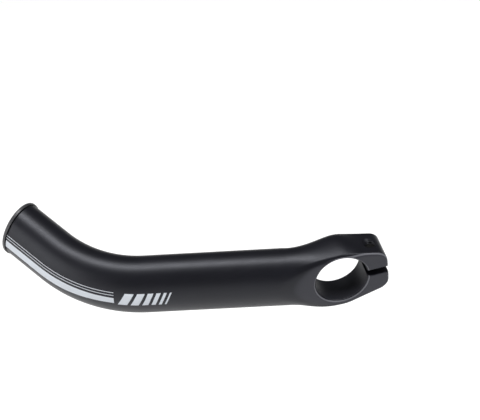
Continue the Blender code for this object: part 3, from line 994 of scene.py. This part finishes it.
def anodised():
    """Satin black anodised aluminium: drawn grain, paler milled faces partly as painted reflection, a
    turned bore made paler as painted reflection, and painted highlights on chamfers and edges.
    """
    material, tree, shader = node_tree("satin_black_anodised")
    cloud = add_noise(tree, scale=90.0, detail=3.0)
    fine = add_noise(tree, scale=5200.0, detail=3.0)
    drawn = add_noise(tree, scale=900.0, detail=2.0, stretch=(0.06, 1.0, 1.0))
    turned = add_noise(tree, scale=2600.0, detail=2.0, stretch=(0.01, 1.0, 0.01))
    coordinates = tree.nodes.new("ShaderNodeTexCoord")
    place = tree.nodes.new("ShaderNodeSeparateXYZ")
    tree.links.new(coordinates.outputs["Object"], place.inputs[0])
    x, y, z = (place.outputs[axis] for axis in "XYZ")
    squares = maths(tree, "ADD", maths(tree, "MULTIPLY", x, x), maths(tree, "MULTIPLY", z, z))
    radius = maths(tree, "SQRT", squares)
    in_bore = maths(tree, "LESS_THAN", radius, BORE_RADIUS + BORE_MARGIN)
    # The bore chamfers, which get a painted highlight
    by_bore = maths(tree, "LESS_THAN", radius, BORE_RADIUS + BORE_CHAMFER + MASK_MARGIN / 2)
    at_mouth = maths(tree, "GREATER_THAN", y, FACE_Y - BORE_CHAMFER - MASK_MARGIN)
    off_bore = maths(tree, "GREATER_THAN", radius, BORE_RADIUS + BORE_CHAMFER / 2)
    chamfer = maths(tree, "MULTIPLY", maths(tree, "MULTIPLY", by_bore, off_bore), at_mouth)
    # Mask of the flat faces, whose paler tone is partly painted reflection
    outboard = tree.nodes.new("ShaderNodeMapRange")
    outboard.interpolation_type = "SMOOTHSTEP"
    outboard.inputs["From Min"].default_value = FACE_Y - FACE_TONE_FADE
    outboard.inputs["From Max"].default_value = FACE_Y - FACE_MARGIN / 2
    tree.links.new(y, outboard.inputs["Value"])
    level = maths(tree, "COMPARE", y, -FACE_Y, FACE_MARGIN)
    by_ears = maths(tree, "LESS_THAN", x, INNER_RISE_START + 2 * MASK_MARGIN)
    inboard = maths(tree, "MULTIPLY", level, by_ears)
    faces = maths(tree, "MAXIMUM", outboard.outputs["Result"], inboard)
    # Painted highlight along the ears' rounded front edge: normals between the face and the top, outside
    # the bore and the slot
    facing = tree.nodes.new("ShaderNodeSeparateXYZ")
    tree.links.new(coordinates.outputs["Normal"], facing.inputs[0])
    on_edge_rounding = maths(tree, "MULTIPLY", maths(tree, "LESS_THAN", facing.outputs["Y"], HIGHLIGHT_NORMAL_HIGH),
                    maths(tree, "GREATER_THAN", facing.outputs["Y"], HIGHLIGHT_NORMAL_LOW))
    past_bore = maths(tree, "GREATER_THAN", radius, BORE_RADIUS + BORE_CHAMFER + MASK_MARGIN)
    past_slot = maths(tree, "GREATER_THAN", maths(tree, "ABSOLUTE", z), SLOT_WIDTH)
    outer = maths(tree, "MULTIPLY", past_bore, past_slot)
    ears = tree.nodes.new("ShaderNodeMapRange")
    ears.inputs["From Min"].default_value = HIGHLIGHT_START_X
    ears.inputs["From Max"].default_value = HIGHLIGHT_FULL_X
    tree.links.new(x, ears.inputs["Value"])
    rim = maths(tree, "GREATER_THAN", y, FACE_Y - HIGHLIGHT_BAND_DEPTH)
    edge_highlight = maths(tree, "MULTIPLY", maths(tree, "MULTIPLY", on_edge_rounding, outer),
                 maths(tree, "MULTIPLY", rim, ears.outputs["Result"]))
    # The chamfer mask takes in the edge band too, so both carry the painted highlight
    chamfer = maths(tree, "MAXIMUM", chamfer, edge_highlight)
    colour = tint(tree, cloud, DYED_DARK, DYED_LIGHT)
    # Painted reflection: a paler tone inside the bore
    colour = mixed(tree, in_bore, colour, PAINTED_BORE_REFLECTION)
    # Flat faces: paler milled finish, partly painted reflection
    colour = mixed(tree, faces, colour, MILLED_AND_REFLECTED_TONE)
    # Painted highlight on the bore chamfers and the ears' front edges, over the face and bore tones
    tree.links.new(mixed(tree, chamfer, colour, PAINTED_EDGE_HIGHLIGHT), shader.inputs["Base Color"])
    rough = maths(tree, "ADD", spread(tree, drawn, *FINISH_ROUGHNESS),
                  maths(tree, "MULTIPLY", in_bore, BORE_ROUGHNESS))
    tree.links.new(rough, shader.inputs["Roughness"])
    grain = add_bump(tree, fine, GRAIN_DEPTH)
    both = add_bump(tree, maths(tree, "MULTIPLY", in_bore, turned), TURNING_DEPTH, grain)
    tree.links.new(both, shader.inputs["Normal"])
    shader.inputs["Metallic"].default_value = 0.0
    shader.inputs["Specular IOR Level"].default_value = MIRROR_LEVEL
    shader.inputs["Specular Tint"].default_value = (*MIRROR_TINT, 1.0)
    return material


def picture_axes():
    """Right, up and back of the photo's camera."""
    a = CAMERA_AZIMUTH
    e = CAMERA_ELEVATION
    back = Vector((math.sin(a) * math.cos(e), -math.cos(a) * math.cos(e), math.sin(e)))
    level = Vector((math.cos(a), math.sin(a), 0.0))
    upright = back.cross(level)
    right = level * math.cos(CAMERA_ROLL) + upright * math.sin(CAMERA_ROLL)
    up = -level * math.sin(CAMERA_ROLL) + upright * math.cos(CAMERA_ROLL)
    return right, up, back


def add_camera():
    right, up, back = picture_axes()
    across = (ORIGIN_IN_PICTURE[0] - PICTURE_WIDTH / 2) / FOCAL_PIXELS
    down = (ORIGIN_IN_PICTURE[1] - PICTURE_HEIGHT / 2) / FOCAL_PIXELS
    place = (back - right * across + up * down) * CAMERA_DISTANCE
    data = bpy.data.cameras.new("camera")
    data.sensor_width = SENSOR_WIDTH
    data.lens = FOCAL_PIXELS * SENSOR_WIDTH / PICTURE_WIDTH
    data.clip_start = 0.01
    data.clip_end = 20.0
    camera = bpy.data.objects.new("camera", data)
    bpy.context.scene.collection.objects.link(camera)
    turn = Matrix((right, up, back)).transposed().to_4x4()
    camera.matrix_world = Matrix.Translation(place) @ turn
    bpy.context.scene.camera = camera


def add_softbox(name, place, aim, width, height, power, spin=0.0):
    data = bpy.data.lights.new(name, "AREA")
    data.shape = "RECTANGLE"
    data.size = width
    data.size_y = height
    data.energy = power
    lamp = bpy.data.objects.new(name, data)
    bpy.context.scene.collection.objects.link(lamp)
    direction = Vector(aim) - Vector(place)
    turn = Matrix.Rotation(spin, 4, "Z") @ direction.to_track_quat("-Z", "Y").to_matrix().to_4x4()
    lamp.matrix_world = Matrix.Translation(Vector(place)) @ turn


def floor_material():
    """Plain white floor with a very faint grain.

    It is seen, and mirrored, a little whiter than it is lit.
    """
    material, tree, shader = node_tree("white_floor")
    grain = add_noise(tree, scale=60.0, detail=3.0)
    white = tint(tree, grain, (0.92, 0.92, 0.92), (0.93, 0.93, 0.93))
    tree.links.new(white, shader.inputs["Base Color"])
    shader.inputs["Roughness"].default_value = 0.9
    shader.inputs["Specular IOR Level"].default_value = 0.0
    path = tree.nodes.new("ShaderNodeLightPath")
    mirrored = maths(tree, "MAXIMUM", path.outputs["Is Glossy Ray"],
                     path.outputs["Is Transmission Ray"])
    seen = maths(tree, "MAXIMUM", path.outputs["Is Camera Ray"], mirrored)
    shader.inputs["Emission Color"].default_value = (1.0, 1.0, 1.0, 1.0)
    tree.links.new(maths(tree, "MULTIPLY", seen, FLOOR_LIFT), shader.inputs["Emission Strength"])
    return material


def add_stage():
    """White floor well below the part, which is held by its bore, and soft studio light."""
    scene = bpy.context.scene
    scene.view_settings.view_transform = "Standard"
    material = floor_material()
    half = FLOOR_SIZE / 2
    mesh = bpy.data.meshes.new("floor")
    corners = [(-half, -half, FLOOR_Z), (half, -half, FLOOR_Z),
               (half, half, FLOOR_Z), (-half, half, FLOOR_Z)]
    mesh.from_pydata(corners, [], [(0, 1, 2, 3)])
    floor = add_piece("floor", mesh, material)
    world = bpy.data.worlds.new("studio")
    world.use_nodes = True
    scene.world = world
    backdrop = world.node_tree.nodes["Background"]
    backdrop.inputs["Color"].default_value = (1.0, 1.0, 1.0, 1.0)
    backdrop.inputs["Strength"].default_value = WORLD_LEVEL
    add_softbox("top_light", place=(-0.10, 0.18, 1.00), aim=(-0.10, 0.0, 0.0),
                width=1.20, height=0.26, power=9.0, spin=math.radians(-12.0))
    add_softbox("tip_light", place=(0.38, -0.10, 1.00), aim=(0.13, -0.04, 0.0),
                width=0.50, height=0.46, power=5.6)
    add_softbox("left_light", place=(0.92, 0.20, 0.16), aim=(0.05, 0.0, 0.0),
                width=0.60, height=0.50, power=2.6)
    add_softbox("right_light", place=(-0.56, 0.56, 0.57), aim=(0.0, 0.0, 0.0),
                width=0.45, height=0.45, power=2.1)


def main():
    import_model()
    finish = anodised()
    plastic = textured("black_plastic", dark=(0.028, 0.028, 0.031), light=(0.036, 0.036, 0.040),
                       rough=0.42, rough_spread=0.05, metallic=0.0,
                       grain=2400.0, grain_depth=0.000012)
    black_steel = textured("black_oxide_steel", dark=(0.030, 0.030, 0.032), light=(0.045, 0.044, 0.043),
                           rough=0.36, rough_spread=0.08, metallic=0.9,
                           grain=3000.0, grain_depth=0.000006)
    washer_steel = textured("dark_washer_steel", dark=(0.10, 0.10, 0.105), light=(0.14, 0.14, 0.145),
                            rough=0.34, rough_spread=0.08, metallic=1.0,
                            grain=2600.0, grain_depth=0.000006)
    ink = textured("silver_print", dark=(0.615, 0.65, 0.70), light=(0.67, 0.71, 0.765),
                   rough=0.50, rough_spread=0.05, metallic=0.0,
                   grain=4200.0, grain_depth=0.000004)
    build_body(finish)
    build_plug(plastic)
    build_washer(washer_steel)
    build_bolt(black_steel)
    build_print(ink)
    add_stage()
    add_camera()


main()
